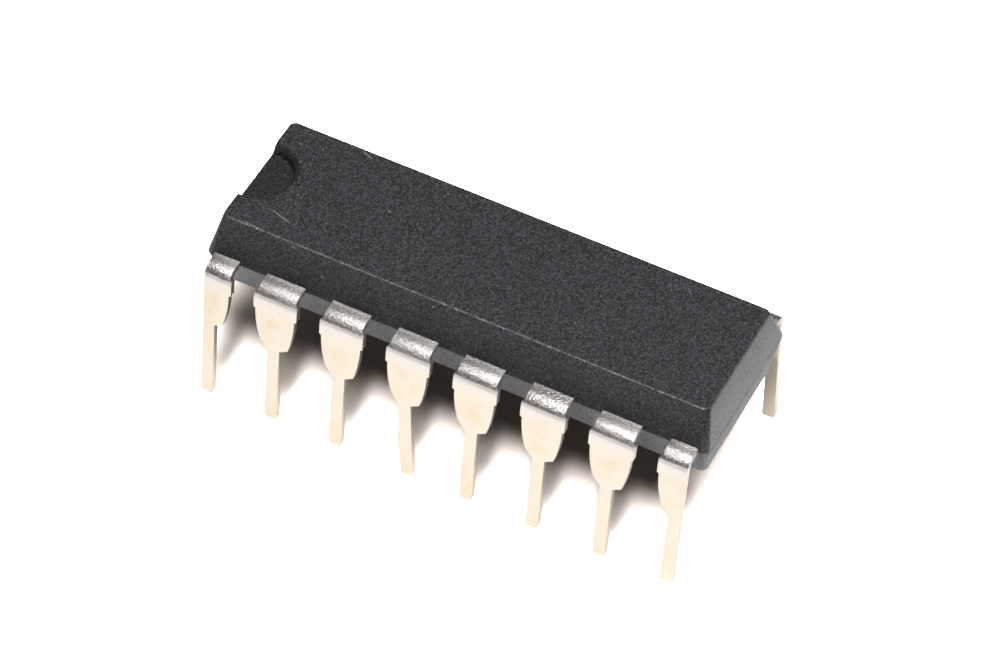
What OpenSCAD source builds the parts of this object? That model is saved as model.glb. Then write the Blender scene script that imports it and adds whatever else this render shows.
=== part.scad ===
// Sixteen-lead dual in-line integrated circuit in a moulded plastic package, in millimetres.
// The origin is the centre of the footprint on the plane of the lead tips. The notched end is at
// -X, leads 1 to 8 stand along -Y from the notch, leads 9 to 16 come back along +Y, and +Z is up.

/* [Moulded body] */
// Length of the body at its parting line
body_l = 18.95; // [18.8:0.05:19.6]
// Width of the body at its parting line
body_w = 6.15; // [6.0:0.05:6.5]
// Height of the upper half above the parting line
upper_h = 1.52; // [1.4:0.01:1.8]
// Height of the lower half below the parting line
lower_h = 1.48; // [1.2:0.01:1.7]
// Draft angle of the long sides of the upper half
upper_side_draft = 21; // [12:0.5:23]
// Draft angle of the long sides of the lower half
lower_side_draft = 17.5; // [10:0.5:22]
// Draft angle of the ends of the upper half
upper_end_draft = 12.5; // [5:0.5:14]
// Draft angle of the ends of the lower half
lower_end_draft = 7.5; // [3:0.5:12]
// Radius of the four upright corners
corner_r = 0.25; // [0.2:0.05:0.6]

/* [Orientation notch] */
// Radius of the notch at its floor
notch_r = 1.28; // [1.1:0.02:1.4]
// Depth of the notch below the top face
notch_depth = 0.6; // [0.4:0.05:0.8]
// Radius of the rounded rim of the notch
notch_rim_r = 0.24; // [0.1:0.02:0.3]

/* [Ejector marks on the underside] */
// Diameter of each mark
ejector_d = 1.6; // [1:0.1:2.4]
// Depth of each mark
ejector_depth = 0.06; // [0.03:0.01:0.15]
// Distance between the centres of the two marks
ejector_span = 12.7; // [8:0.1:14]

/* [Outer leads] */
// Distance between neighbouring leads of a row
pin_pitch = 2.54; // [2.52:0.01:2.56]
// Thickness of the lead strip
lead_t = 0.25; // [0.2:0.01:0.3]
// Width of the shoulder where it leaves the body
shoulder_w = 1.47; // [1.35:0.01:1.6]
// Width over the stubs left by the cut dam bar
stub_w = 1.66; // [1.62:0.01:1.74]
// Depth of the top of the stubs below the parting line
stub_drop = 0.18; // [0.1:0.01:0.25]
// Height of the stubs
stub_h = 0.59; // [0.4:0.01:0.65]
// Width of the leg just under the stubs
neck_w = 1.5; // [1.4:0.01:1.6]
// Width of the leg at the ledge
foot_w = 1.1; // [1:0.01:1.3]
// Height of the slanted side of the leg opposite the ledge
foot_h = 0.45; // [0.3:0.01:0.6]
// Height by which the ledge rises towards its outer corner
ledge_rise = 0.19; // [0.05:0.01:0.3]
// Depth of the ledge below the parting line
ledge_drop = 2.47; // [2.2:0.01:2.6]
// Width of the pin
pin_w = 0.46; // [0.38:0.01:0.53]
// Length of the pin below the ledge
pin_l = 3.33; // [3:0.01:3.8]
// Radius of the corners of the tip
tip_r = 0.12; // [0.05:0.01:0.17]
// Distance by which the legs stand out beyond the body's sides, just under their bends
leg_reach = 0.765; // [0.735:0.005:0.9]
// Inside radius of the bend
bend_r = 0.27; // [0.2:0.01:0.3]
// Outward splay of the legs in degrees
splay = 4.7; // [0:0.1:6]
// Sideways set of the tip of lead 4, which is bent a little towards the plain end
bent_tip = 0.25; // [0:0.05:0.4]

/* [Inside the moulding] */
// Length of the wide root of each lead inside the body
root_l = 0.5; // [0.3:0.02:0.55]
// Width of the inner fingers
finger_w = 0.28; // [0.22:0.01:0.3]
// Spacing between the fingers, the paddle and the tie bars
inner_gap = 0.22; // [0.18:0.01:0.24]
// Length of the die paddle
paddle_l = 3.4; // [3:0.05:3.8]
// Width of the die paddle
paddle_w = 2.6; // [2.4:0.05:2.8]
// Width of the tie bars that carry the paddle
tie_w = 0.3; // [0.2:0.01:0.4]
// Length of moulding that covers the tie bar at the plain end
tie_cover = 0.5; // [0.3:0.05:1]
// Thickness of the die attach layer
attach_t = 0.02; // [0.02:0.005:0.05]
// Length of the silicon die
die_l = 2.0; // [1.6:0.05:2.4]
// Width of the silicon die
die_w = 1.6; // [1.4:0.05:2]
// Thickness of the silicon die
die_t = 0.3; // [0.2:0.01:0.4]
// Margin of the attach layer around the die
attach_margin = 0.1; // [0.05:0.01:0.2]
// Distance from the bond pads to the edge of the die
pad_edge = 0.1; // [0.08:0.01:0.15]
// Side of the flat-sided bond wire
wire_w = 0.03; // [0.025:0.005:0.05]
// Height of the wire loop above the line between its ends
wire_rise = 0.26; // [0.22:0.01:0.4]
// Width of the ball bond on the die
ball_w = 0.09; // [0.07:0.01:0.12]

/* [Hidden] */
row_count = 8;
lead_count = 2 * row_count;
row_w = body_w + 2 * leg_reach;
parting_z = pin_l + ledge_drop;
lead_bottom = parting_z - lead_t / 2;
lead_top = parting_z + lead_t / 2;
body_top = parting_z + upper_h;
body_bottom = parting_z - lower_h;
stub_top = parting_z - stub_drop;
stub_bottom = stub_top - stub_h;
bend_outer_r = bend_r + lead_t;
bend_centre_v = row_w / 2 - bend_outer_r * cos(splay);
bend_centre_z = lead_bottom - bend_r;
root_v = body_w / 2 - root_l;
side_tip_v = paddle_w / 2 + inner_gap;
finger_depth = root_v - side_tip_v;
end_tip_u = paddle_l / 2 + inner_gap;
end_row_1 = tie_w / 2 + inner_gap + finger_w / 2;
end_row_2 = end_row_1 + finger_w + inner_gap;
side_tip_pitch = 0.22 * paddle_l;
die_bottom = lead_top + attach_t;
die_top = die_bottom + die_t;
stitch_back = 0.14;
stitch_l = 0.08;
ball_h = 0.03;
step_in = 0.05;
corner_steps = 4;
arc_steps = 8;
taper_steps = 6;
wire_steps = 8;
over = 1;

plastic = [0.19, 0.19, 0.2];
tin = [0.83, 0.81, 0.76];
copper = [0.76, 0.5, 0.36];
silver = [0.8, 0.8, 0.8];
silicon = [0.35, 0.37, 0.42];
gold = [0.9, 0.72, 0.3];

// Place in its row, counted from the notch, and side of the body, -1 for leads 1 to 8.
function row_place(i) = i <= row_count ? i : lead_count + 1 - i;
function side_of(i) = i <= row_count ? -1 : 1;
function lead_u(place) = (place - (row_count + 1) / 2) * pin_pitch;
function flip(points) = [for (k = [len(points) - 1 : -1 : 0]) points[k]];
function arc(centre, r, a0, a1, n) =
    [for (k = [0 : n]) centre + r * [cos(a0 + (a1 - a0) * k / n), sin(a0 + (a1 - a0) * k / n)]];

// The body is a block cut back by drafted walls that lean in above and below the parting line.
// A wall with its plan normal at angle a leans in by a mix of the end and side drafts.
function wall_lean(a, end_draft, side_draft) = cos(a) * tan(end_draft) + sin(a) * tan(side_draft);
function wall_reach(a) = cos(a) * (body_l / 2 - corner_r) + sin(a) * (body_w / 2 - corner_r) + corner_r;

module outside_wall(turn, a, h, end_draft, side_draft) {
    rotate([0, 0, turn])
        translate([wall_reach(a), 0, 0])
            rotate([0, -atan(wall_lean(a, end_draft, side_draft)), 0])
                translate([0, -body_l, -over])
                    cube([body_l, 2 * body_l, h + 3 * over]);
}

// Everything outside the walls and the rounded upright corners of one half, which rises from z = 0.
module outside_half(h, end_draft, side_draft) {
    for (turn = [0, 180])
        outside_wall(turn, 0, h, end_draft, side_draft);
    for (turn = [90, 270])
        outside_wall(turn, 90, h, end_draft, side_draft);
    for (k = [1 : corner_steps - 1]) {
        a = 90 * k / corner_steps;
        for (turn = [a, 180 - a, 180 + a, -a])
            outside_wall(turn, a, h, end_draft, side_draft);
    }
}

// The notch is half a round recess with a rounded rim, centred on the end of the top face.
module notch_cut() {
    top_end = -body_l / 2 + upper_h * tan(upper_end_draft);
    translate([top_end, 0, body_top])
        rotate_extrude($fn = 48)
            difference() {
                translate([0, -notch_depth])
                    square([notch_r + notch_rim_r, notch_depth + over]);
                translate([notch_r, -notch_depth - over])
                    square([2 * notch_rim_r, notch_depth + over - notch_rim_r]);
                translate([notch_r + notch_rim_r, -notch_rim_r])
                    circle(r = notch_rim_r, $fn = 32);
            }
}

module ejector_cut() {
    for (side = [-1, 1])
        translate([side * ejector_span / 2, 0, body_bottom - over])
            cylinder(d = ejector_d, h = over + ejector_depth, $fn = 40);
}

module body_shell() {
    difference() {
        translate([-body_l / 2 - step_in, -body_w / 2 - step_in, body_bottom])
            cube([body_l + 2 * step_in, body_w + 2 * step_in, upper_h + lower_h]);
        translate([0, 0, parting_z])
            outside_half(upper_h, upper_end_draft, upper_side_draft);
        translate([0, 0, parting_z])
            rotate([180, 0, 0])
                outside_half(lower_h, lower_end_draft, lower_side_draft);
        notch_cut();
        ejector_cut();
    }
}

// The moulding fills the space round everything inside it. A cut reaches a little into the piece
// below it, so that no skin of plastic is left between two pieces that touch.
module body() {
    color(plastic)
        difference() {
            body_shell();
            for (i = [1 : lead_count])
                lead(i);
            paddle_blank();
            die_attach(step_in);
            die(step_in);
            for (i = [1 : lead_count])
                bond_wire(i, step_in);
        }
}

// Side view of the bent strip. v is the distance from the body's long middle plane.
function leg_v(r, z) = bend_centre_v + r * cos(splay) + (bend_centre_z + r * sin(splay) - z) * tan(splay);

strip_profile = concat(
    [[0, lead_top]],
    arc([bend_centre_v, bend_centre_z], bend_outer_r, 90, splay, arc_steps),
    [[leg_v(bend_outer_r, 0), 0], [leg_v(bend_r, 0), 0]],
    arc([bend_centre_v, bend_centre_z], bend_r, splay, 90, arc_steps),
    [[0, lead_bottom]]
);

// Front outline of one side of a lead, from above its top down to the pin. u runs away from the pin.
function taper(s) = neck_w / 2 - (neck_w - foot_w) / 2 * s * s;
function wide_side(foot_z) = concat(
    [
        [shoulder_w / 2, lead_top + over],
        [shoulder_w / 2, stub_top + step_in],
        [stub_w / 2, stub_top],
        [stub_w / 2, stub_bottom]
    ],
    [for (k = [0 : taper_steps])
        let (s = k / taper_steps)
        [taper(s), stub_bottom - step_in + (foot_z - stub_bottom + step_in) * s]]
);
ledge_side = concat(wide_side(pin_l + ledge_rise), [[pin_w / 2, pin_l]]);
slant_side = concat(wide_side(pin_l + foot_h - ledge_rise / 2), [[pin_w / 2, pin_l - ledge_rise / 2]]);
straight_side = [[pin_w / 2, lead_top + over], [pin_w / 2, pin_l]];
function tip_side(set) = arc([pin_w / 2 - tip_r + set, tip_r], tip_r, 0, -90, 3);
function mirrored(points) = [for (p = points) [-p.x, p.y]];

module front_outline(place, set) {
    right = place == row_count ? straight_side : ledge_side;
    left = place == 1 ? straight_side : slant_side;
    polygon(concat(right, tip_side(set), flip(mirrored(concat(left, tip_side(-set))))));
}

// Inner finger of each lead as a route of four points, from its wide root to its tip by the paddle.
// turn_at is how much of the way in the finger runs straight before it turns towards the paddle.
turn_at = [0.64, 0.545, 0.28, 0.166];
function finger_start(place) = [
    [lead_u(place), root_v + step_in],
    [lead_u(place), root_v - turn_at[place - 1] * finger_depth]
];
finger_routes = [
    concat(finger_start(1), [[lead_u(1.8), end_row_1], [-end_tip_u, end_row_1]]),
    concat(finger_start(2), [[lead_u(2.67), end_row_2], [-end_tip_u, end_row_2]]),
    concat(finger_start(3), [
        [-1.95 * side_tip_pitch, side_tip_v + 0.284 * finger_depth],
        [-1.5 * side_tip_pitch, side_tip_v]
    ]),
    concat(finger_start(4), [
        [-0.8 * side_tip_pitch, side_tip_v + 0.379 * finger_depth],
        [-0.5 * side_tip_pitch, side_tip_v]
    ])
];
function route(place) = place <= row_count / 2 ? finger_routes[place - 1] : mirrored(route(row_count + 1 - place));
function unit(v) = v / norm(v);
function left_of(d) = [-d.y, d.x];
// Offset of corner k of a route to its left, mitred so that both strips keep the full width.
function mitre(points, k, half) =
    let (a = unit(points[max(k, 1)] - points[max(k, 1) - 1]))
    let (b = unit(points[min(k + 1, len(points) - 1)] - points[min(k, len(points) - 2)]))
    points[k] + left_of(a + b) * half / (1 + a * b);
function strip(points, w) = concat(
    [for (k = [0 : len(points) - 1]) mitre(points, k, w / 2)],
    flip([for (k = [0 : len(points) - 1]) mitre(points, k, -w / 2)])
);

// Lead 1 is the first from the notch on the -Y side, and the numbers run round the body.
// The bent strip is cut out in the outline of the leg and of the finger.
module lead(i) {
    place = row_place(i);
    side = side_of(i);
    set = i == 4 ? bent_tip : 0;
    reach = abs(lead_u(1)) + stub_w;
    color(tin)
        intersection() {
            translate([-reach, 0, 0])
                rotate([90, 0, 90])
                    linear_extrude(2 * reach)
                        polygon([for (p = strip_profile) [side * p.x, p.y]]);
            union() {
                translate([lead_u(place), side > 0 ? row_w : -root_v, 0])
                    rotate([90, 0, 0])
                        linear_extrude(row_w - root_v)
                            front_outline(place, set);
                translate([0, 0, lead_bottom - over])
                    linear_extrude(lead_t + 2 * over)
                        polygon([for (p = strip(route(place), finger_w)) [p.x, side * p.y]]);
            }
        }
}

// The paddle is one stamped plate with a tie bar at each end. The one at the notched end reaches
// the outside, where it was cut off flush with the body.
module paddle_blank() {
    translate([0, 0, lead_bottom])
        linear_extrude(lead_t)
            union() {
                square([paddle_l, paddle_w], center = true);
                translate([-body_l / 2 - over, -tie_w / 2])
                    square([body_l + over - tie_cover, tie_w]);
            }
}

module die_paddle() {
    color(copper)
        intersection() {
            paddle_blank();
            body_shell();
        }
}

module die_attach(sink = 0) {
    l = die_l + 2 * attach_margin;
    w = die_w + 2 * attach_margin;
    color(silver)
        translate([-l / 2, -w / 2, lead_top - sink])
            cube([l, w, attach_t + sink]);
}

module die(sink = 0) {
    color(silicon)
        translate([-die_l / 2, -die_w / 2, die_bottom - sink])
            cube([die_l, die_w, die_t + sink]);
}

// Bond pad on the die for each place in a row.
pads = [
    [-die_l / 2 + pad_edge, 0.16 * die_w],
    [-die_l / 2 + pad_edge, 0.36 * die_w],
    [-0.3 * die_l, die_w / 2 - pad_edge],
    [-0.1 * die_l, die_w / 2 - pad_edge]
];
function pad(place) = place <= row_count / 2 ? pads[place - 1] : mirrored([pad(row_count + 1 - place)])[0];
function stitch(points) = points[3] - stitch_back * unit(points[3] - points[2]);
function loop_z(s) = die_top + ball_h + (lead_top - die_top - ball_h) * s + 4 * wire_rise * s * (1 - s);

// A bond wire starts in a ball on the die, loops over and ends in a stitch on the finger of its lead.
module bond_wire(i, sink = 0) {
    start = pad(row_place(i));
    span = stitch(route(row_place(i))) - start;
    side = side_of(i);
    steps = [for (k = [0 : wire_steps]) k / wire_steps];
    over_line = [for (s = steps) [s * norm(span), loop_z(s) + wire_w]];
    under_line = [for (s = steps) [s * norm(span), max(lead_top, loop_z(s) - wire_w / 2)]];
    color(gold)
        translate([start.x, side * start.y, 0])
            union() {
                rotate([0, 0, atan2(side * span.y, span.x)])
                    translate([0, wire_w / 2, 0])
                        rotate([90, 0, 0])
                            linear_extrude(wire_w)
                                union() {
                                    polygon(concat(over_line, flip(under_line)));
                                    translate([norm(span) - stitch_l / 2, lead_top - sink])
                                        square([stitch_l, wire_w / 2 + sink]);
                                }
                translate([0, 0, die_top - sink])
                    cylinder(d = ball_w, h = 2 * ball_h + sink, $fn = 8);
            }
}

body();
die_paddle();
die_attach();
die();
for (i = [1 : lead_count])
    lead(i);
for (i = [1 : lead_count])
    bond_wire(i);
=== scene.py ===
"""Looks of a sixteen-lead dual in-line integrated circuit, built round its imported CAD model.

The body is a moulded shell with drafted walls and a half-round notch. The leads are flat blanks that
a Geometry Nodes tree bends down, and everything has a procedural material. Sizes are in metres, apart from
those inside the materials and in the constants that say so, which are in millimetres.
"""
import math

import bmesh
import bpy
from mathutils import Matrix, Vector


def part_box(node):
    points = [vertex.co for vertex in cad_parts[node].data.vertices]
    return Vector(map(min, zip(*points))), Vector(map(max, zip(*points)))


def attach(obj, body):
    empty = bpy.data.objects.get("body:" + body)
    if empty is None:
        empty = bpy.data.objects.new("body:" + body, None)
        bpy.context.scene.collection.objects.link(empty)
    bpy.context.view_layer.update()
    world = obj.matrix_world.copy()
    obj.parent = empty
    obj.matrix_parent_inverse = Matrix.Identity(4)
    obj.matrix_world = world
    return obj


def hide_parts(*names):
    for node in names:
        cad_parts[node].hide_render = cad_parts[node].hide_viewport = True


bl_info = {
    "name": "Dual in-line chip",
    "version": (1, 0, 0),
    "blender": (4, 5, 0),
    "location": "3D View > Sidebar > Chip",
    "description": "Builds the moulded body, the bent leads and the finishes of a dual in-line chip",
    "category": "Object",
}

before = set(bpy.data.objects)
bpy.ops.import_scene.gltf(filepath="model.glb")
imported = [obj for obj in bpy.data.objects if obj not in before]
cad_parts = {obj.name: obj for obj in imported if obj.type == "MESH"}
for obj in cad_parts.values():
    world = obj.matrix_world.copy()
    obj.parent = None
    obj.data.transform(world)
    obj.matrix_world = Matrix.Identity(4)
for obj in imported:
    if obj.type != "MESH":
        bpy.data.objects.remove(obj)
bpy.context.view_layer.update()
body_lo, body_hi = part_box("body")
lead_lo, lead_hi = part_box("lead_2")

MM = 0.001
ROW_COUNT = 8
LEAD_COUNT = 2 * ROW_COUNT
LEAD_THICKNESS = 0.25 * MM
LEAD_PITCH = 2.54 * MM
PARTING_Z = lead_hi.z - LEAD_THICKNESS / 2


def in_mm(length):
    """A length in millimetres, to the micrometre, because stored sizes carry a stray last digit."""
    return round(length / MM, 3)


def size(name, text, value):
    """A length that the user may change."""
    return bpy.props.FloatProperty(
        name=name, description=text, default=value, min=0, precision=5, subtype="DISTANCE", unit="LENGTH"
    )


def turn(name, text, degrees):
    """An angle that the user may change."""
    value = math.radians(degrees)
    return bpy.props.FloatProperty(name=name, description=text, default=value, subtype="ANGLE")


def tone(name, text, colour):
    """A colour that the user may change."""
    return bpy.props.FloatVectorProperty(
        name=name, description=text, default=colour, size=3, min=0, max=1, subtype="COLOR"
    )


def share(name, text, value):
    """A share from 0 to 1 that the user may change."""
    return bpy.props.FloatProperty(
        name=name, description=text, default=value, min=0, max=1, subtype="FACTOR"
    )


class ChipBodySettings(bpy.types.PropertyGroup):
    """Sizes and finish of the moulded body."""

    length: size("Length", "Length at the parting line", body_hi.x - body_lo.x)
    width: size("Width", "Width at the parting line", body_hi.y - body_lo.y)
    upper_side_draft: turn("Upper side draft", "Lean of the long walls above the parting line", 21)
    lower_side_draft: turn("Lower side draft", "Lean of the long walls below the parting line", 17.5)
    upper_end_draft: turn("Upper end draft", "Lean of the end walls above the parting line", 12.5)
    lower_end_draft: turn("Lower end draft", "Lean of the end walls below the parting line", 7.5)
    corner_radius: size("Corner radius", "Radius of the upright corners", 0.25 * MM)
    edge_radius: size("Edge rounding", "Rounding of the moulded edges", 0.045 * MM)
    notch_radius: size("Notch radius", "Radius of the notch at its floor", 1.28 * MM)
    notch_depth: size("Notch depth", "Depth of the notch below the top face", 0.6 * MM)
    notch_rim: size("Notch rim", "Radius of the rounded rim of the notch", 0.24 * MM)
    notch_fillet: size("Notch fillet", "Radius between the wall and the floor of the notch", 0.08 * MM)
    mark_diameter: size("Ejector mark", "Diameter of the ejector marks on the underside", 1.6 * MM)
    mark_depth: size("Ejector mark depth", "Depth of the ejector marks", 0.06 * MM)
    mark_span: size("Ejector mark span", "Distance between the two ejector marks", 12.7 * MM)
    tie_width: size("Tie bar width", "Width of the cut tie bar that shows at the notched end", 0.3 * MM)
    tie_pocket: size("Tie bar pocket", "Depth of the opening in which the tie bar shows", 0.3 * MM)
    compound: tone("Compound", "Colour of the moulding compound", (0.003, 0.003, 0.0035))
    grain_light: tone("Light grain", "Colour of the paler grains in the compound", (0.061, 0.067, 0.08))
    grain_warm: tone("Warm grain", "Colour of the browner grains in the compound", (0.072, 0.07, 0.072))
    # This tone and the strength below also paint the highlight along the rim of the top
    worn_and_highlit: tone("Worn plastic", "Colour of scratches and rubbed edges", (0.4, 0.39, 0.39))
    wear_and_highlight: share("Wear", "Strength of the scratches and rubbed edges", 1.0)


class ChipLeadSettings(bpy.types.PropertyGroup):
    """Sizes and finish of the outer leads."""

    pitch: size("Pitch", "Distance between neighbouring leads", LEAD_PITCH)
    thickness: size("Thickness", "Thickness of the strip", LEAD_THICKNESS)
    shoulder_width: size("Shoulder width", "Width where the lead leaves the body", 1.47 * MM)
    stub_width: size("Stub width", "Width over the stubs of the cut dam bar", 1.66 * MM)
    stub_drop: size("Stub drop", "Depth of the stubs below the parting line", 0.18 * MM)
    stub_height: size("Stub height", "Height of the stubs", 0.59 * MM)
    neck_width: size("Neck width", "Width of the leg just under the stubs", 1.5 * MM)
    foot_width: size("Foot width", "Width of the leg at the ledge", 1.1 * MM)
    foot_height: size("Foot height", "Height of the slanted side opposite the ledge", 0.45 * MM)
    ledge_rise: size("Ledge rise", "Rise of the ledge towards its outer corner", 0.19 * MM)
    pin_length: size("Pin length", "Length of the pin below the ledge", 3.33 * MM)
    pin_width: size("Pin width", "Width of the pin", 0.46 * MM)
    tip_radius: size("Tip radius", "Radius of the corners of the tip", 0.12 * MM)
    row_width: size("Row width", "Width over both rows just under the bends", 7.68 * MM)
    bend_radius: size("Bend radius", "Inside radius of the bend", 0.27 * MM)
    splay: turn("Splay", "Outward lean of the legs", 4.7)
    bent_tip: size("Bent tip", "Sideways set of the tip of the bent lead", 0.25 * MM)
    edge_radius: size("Edge rounding", "Rounding of the stamped edges", 0.03 * MM)
    tin: tone("Tin", "Colour of the solder-dipped tin", (0.77, 0.698, 0.585))
    stain: tone("Stain", "Colour of the aged patches on the tin", (0.76, 0.61, 0.42))


class ChipStageSettings(bpy.types.PropertyGroup):
    """Floor, lamp, room light and camera."""

    azimuth: turn("Azimuth", "Turn of the camera round the chip", 25.085)
    elevation: turn("Elevation", "Height of the camera above the horizon", 49.114)
    roll: turn("Roll", "Roll of the camera", 2.575)
    distance: size("Distance", "Distance of the camera from the chip", 150.764 * MM)
    lens: bpy.props.FloatProperty(
        name="Focal length", description="Length of the lens", default=159.88, subtype="DISTANCE_CAMERA"
    )
    floor_tone: tone("Floor", "Colour of the floor", (0.6, 0.6, 0.605))
    key_power: bpy.props.FloatProperty(
        name="Key power", description="Power of the overhead lamp", default=0.36, min=0, unit="POWER"
    )
    room: share("Room light", "Level of the light from the upper part of the room", 0.28)
    horizon: share("Horizon light", "Level of the light from the lower part of the room", 0.03)


# Node trees


def maths(operation):
    """A method that gives its value, and another one if there is one, to a maths node."""
    def method(self, *other):
        return self.tree.node("ShaderNodeMath", {"operation": operation}, dict(enumerate((self, *other))))

    return method


class Val:
    """A value inside a node tree, so that its maths is written as Python."""

    def __init__(self, tree, socket):
        self.tree, self.socket = tree, socket

    __add__ = __radd__ = maths("ADD")
    __mul__ = __rmul__ = maths("MULTIPLY")
    __sub__ = maths("SUBTRACT")
    __truediv__ = maths("DIVIDE")
    __abs__ = maths("ABSOLUTE")
    least = maths("MINIMUM")
    most = maths("MAXIMUM")
    root = maths("SQRT")
    sine = maths("SINE")
    cosine = maths("COSINE")

    def __rsub__(self, other):
        return self.tree.node("ShaderNodeMath", {"operation": "SUBTRACT"}, {0: other, 1: self})

    def clamped(self):
        """The value kept between 0 and 1."""
        settings = {"operation": "ADD", "use_clamp": True}
        return self.tree.node("ShaderNodeMath", settings, {0: self, 1: 0.0})

    def rise(self, low, high):
        """0 below low, 1 above high, smooth between. low may be the greater, which turns it round."""
        inputs = {"Value": self, "From Min": low, "From Max": high}
        return self.tree.node("ShaderNodeMapRange", {"interpolation_type": "SMOOTHSTEP"}, inputs)


class Tree:
    """Adds nodes to one node tree. Inputs are numbers, colours or Val objects."""

    def __init__(self, tree):
        self.tree = tree

    def node(self, kind, settings=None, inputs=None, out=0):
        """Adds a node with its settings and inputs, and gives one of its outputs."""
        made = self.tree.nodes.new(kind)
        for key, value in (settings or {}).items():
            setattr(made, key, value)
        for key, value in (inputs or {}).items():
            if isinstance(value, Val):
                self.tree.links.new(value.socket, made.inputs[key])
            else:
                made.inputs[key].default_value = value
        return Val(self, made.outputs[out]) if len(made.outputs) else None

    def also(self, value, out):
        """Another output of the node that gave this value."""
        return Val(self, value.socket.node.outputs[out])

    def join(self, a, b, c):
        """A vector from its three parts."""
        return self.node("ShaderNodeCombineXYZ", None, {0: a, 1: b, 2: c})

    def parts(self, vector):
        """The three parts of a vector."""
        x = self.node("ShaderNodeSeparateXYZ", None, {0: vector})
        return x, self.also(x, 1), self.also(x, 2)

    def noise(self, place, scale, detail=2.0, rough=0.5):
        inputs = {"Vector": place, "Scale": scale, "Detail": detail, "Roughness": rough}
        return self.node("ShaderNodeTexNoise", None, inputs)

    def mix(self, share_of_b, a, b):
        """Colour between a and b."""
        inputs = {"Factor": share_of_b, 6: _rgba(a), 7: _rgba(b)}
        return self.node("ShaderNodeMix", {"data_type": "RGBA"}, inputs, out=2)


def _rgba(colour):
    return colour if isinstance(colour, Val) else (*colour, 1.0)


class Finish(Tree):
    """A material with a Principled shader. p is the place on the piece in millimetres."""

    def __init__(self, name, **constants):
        self.material = bpy.data.materials.new(name)
        self.material.use_nodes = True
        super().__init__(self.material.node_tree)
        self.shader = self.tree.nodes["Principled BSDF"]
        for key, value in constants.items():
            self.shader.inputs[key.replace("_", " ")].default_value = value
        spot = self.node("ShaderNodeTexCoord", out="Object")
        self.p = self.node("ShaderNodeVectorMath", {"operation": "SCALE"}, {0: spot, "Scale": 1 / MM})
        self.x, self.y, self.z = self.parts(self.p)

    def feed(self, **links):
        for key, value in links.items():
            self.tree.links.new(value.socket, self.shader.inputs[key.replace("_", " ")])
        return self.material

    def stretched(self, x, y, z):
        """The place with each direction scaled, for a pattern that is longer one way."""
        return self.node("ShaderNodeVectorMath", {"operation": "MULTIPLY"}, {0: self.p, 1: (x, y, z)})

    def distance_to(self, place):
        """How far a point lies from a place, in millimetres."""
        return self.node("ShaderNodeVectorMath", {"operation": "DISTANCE"}, {0: self.p, 1: place}, "Value")

    def bump(self, height, depth, strength):
        inputs = {"Height": height, "Distance": depth, "Strength": strength}
        return self.node("ShaderNodeBump", None, inputs)

    def specks(self, place, scale, kept, reach):
        """Sparse round specks: kept is the share of cells that has one, reach its radius in cells."""
        cell = self.node("ShaderNodeTexVoronoi", {"feature": "F1"}, {"Vector": place, "Scale": scale})
        pick = self.parts(self.also(cell, "Color"))[0]
        return pick.rise(1 - kept, 1 - kept * 0.9) * cell.rise(reach, reach * 0.4)

    def stroke(self, u, v, start, end, width):
        """1 along the line from start to end, given as u and v in millimetres, and 0 beside it."""
        (x0, y0), (x1, y1) = start, end
        long = math.hypot(x1 - x0, y1 - y0)
        dx, dy = (x1 - x0) / long, (y1 - y0) / long
        along = (u - x0) * dx + (v - y0) * dy
        aside = abs((u - x0) * dy - (v - y0) * dx)
        past = abs(along - long / 2) - long / 2
        return aside.rise(width, width * 0.25) * past.rise(0, -0.25 * long)


# Materials

# Marks on the moulding, in millimetres: ends and width of each scratch, on the top as x and y and on
# the front wall as x and z, then place and radius of single bright specks
TOP_SCRATCHES = (
    ((-7.84, -1.47), (-6.8, -1.79), 0.045),
    ((-6.31, 2.38), (-5.82, 2.17), 0.04),
    ((-8.35, -2.4), (-7.75, -2.46), 0.03),
    ((-4.35, 0.4), (-4.1, 0.3), 0.03),
    ((6.2, 2.1), (6.5, 1.8), 0.025),
)
WALL_SCRATCHES = (
    ((-6.48, 7.205), (-6.16, 7.145), 0.03),
    ((-5.16, 6.61), (-5.03, 6.52), 0.03),
)
PLACED_SPECKS = (
    ((-8.35, 1.65, 7.32), 0.035),
    ((-7.97, 0.9, 7.32), 0.03),
    ((-7.57, 1.81, 7.32), 0.03),
    ((-7.29, -0.49, 7.32), 0.03),
    ((-7.78, -2.48, 7.3), 0.05),
    ((-4.47, -2.49, 7.3), 0.035),
    ((-0.18, -2.49, 7.3), 0.04),
    ((-1.0, -2.59, 7.07), 0.04),
)

# Colours of single places: the seam round the moulding, its end walls under the seam (a painted sheen),
# then the tin at the top of the legs, on the bends, low on the bends (painted shade), on the shoulders
# (painted shade), by the body (a painted highlight), and in pits and grit
SEAM_TONE = (0.11, 0.105, 0.1)
LOW_END_SHEEN_TONE = (0.05, 0.044, 0.036)
LEG_TOP_TONE = (0.76, 0.725, 0.7)
BEND_TONE = (0.66, 0.645, 0.63)
LOW_BEND_SHADE_TONE = (0.56, 0.53, 0.515)
SHOULDER_SHADE_TONE = (0.66, 0.64, 0.625)
BY_BODY_HIGHLIGHT_TONE = (0.96, 0.94, 0.92)
GRIT_TONE = (0.26, 0.24, 0.22)


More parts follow.
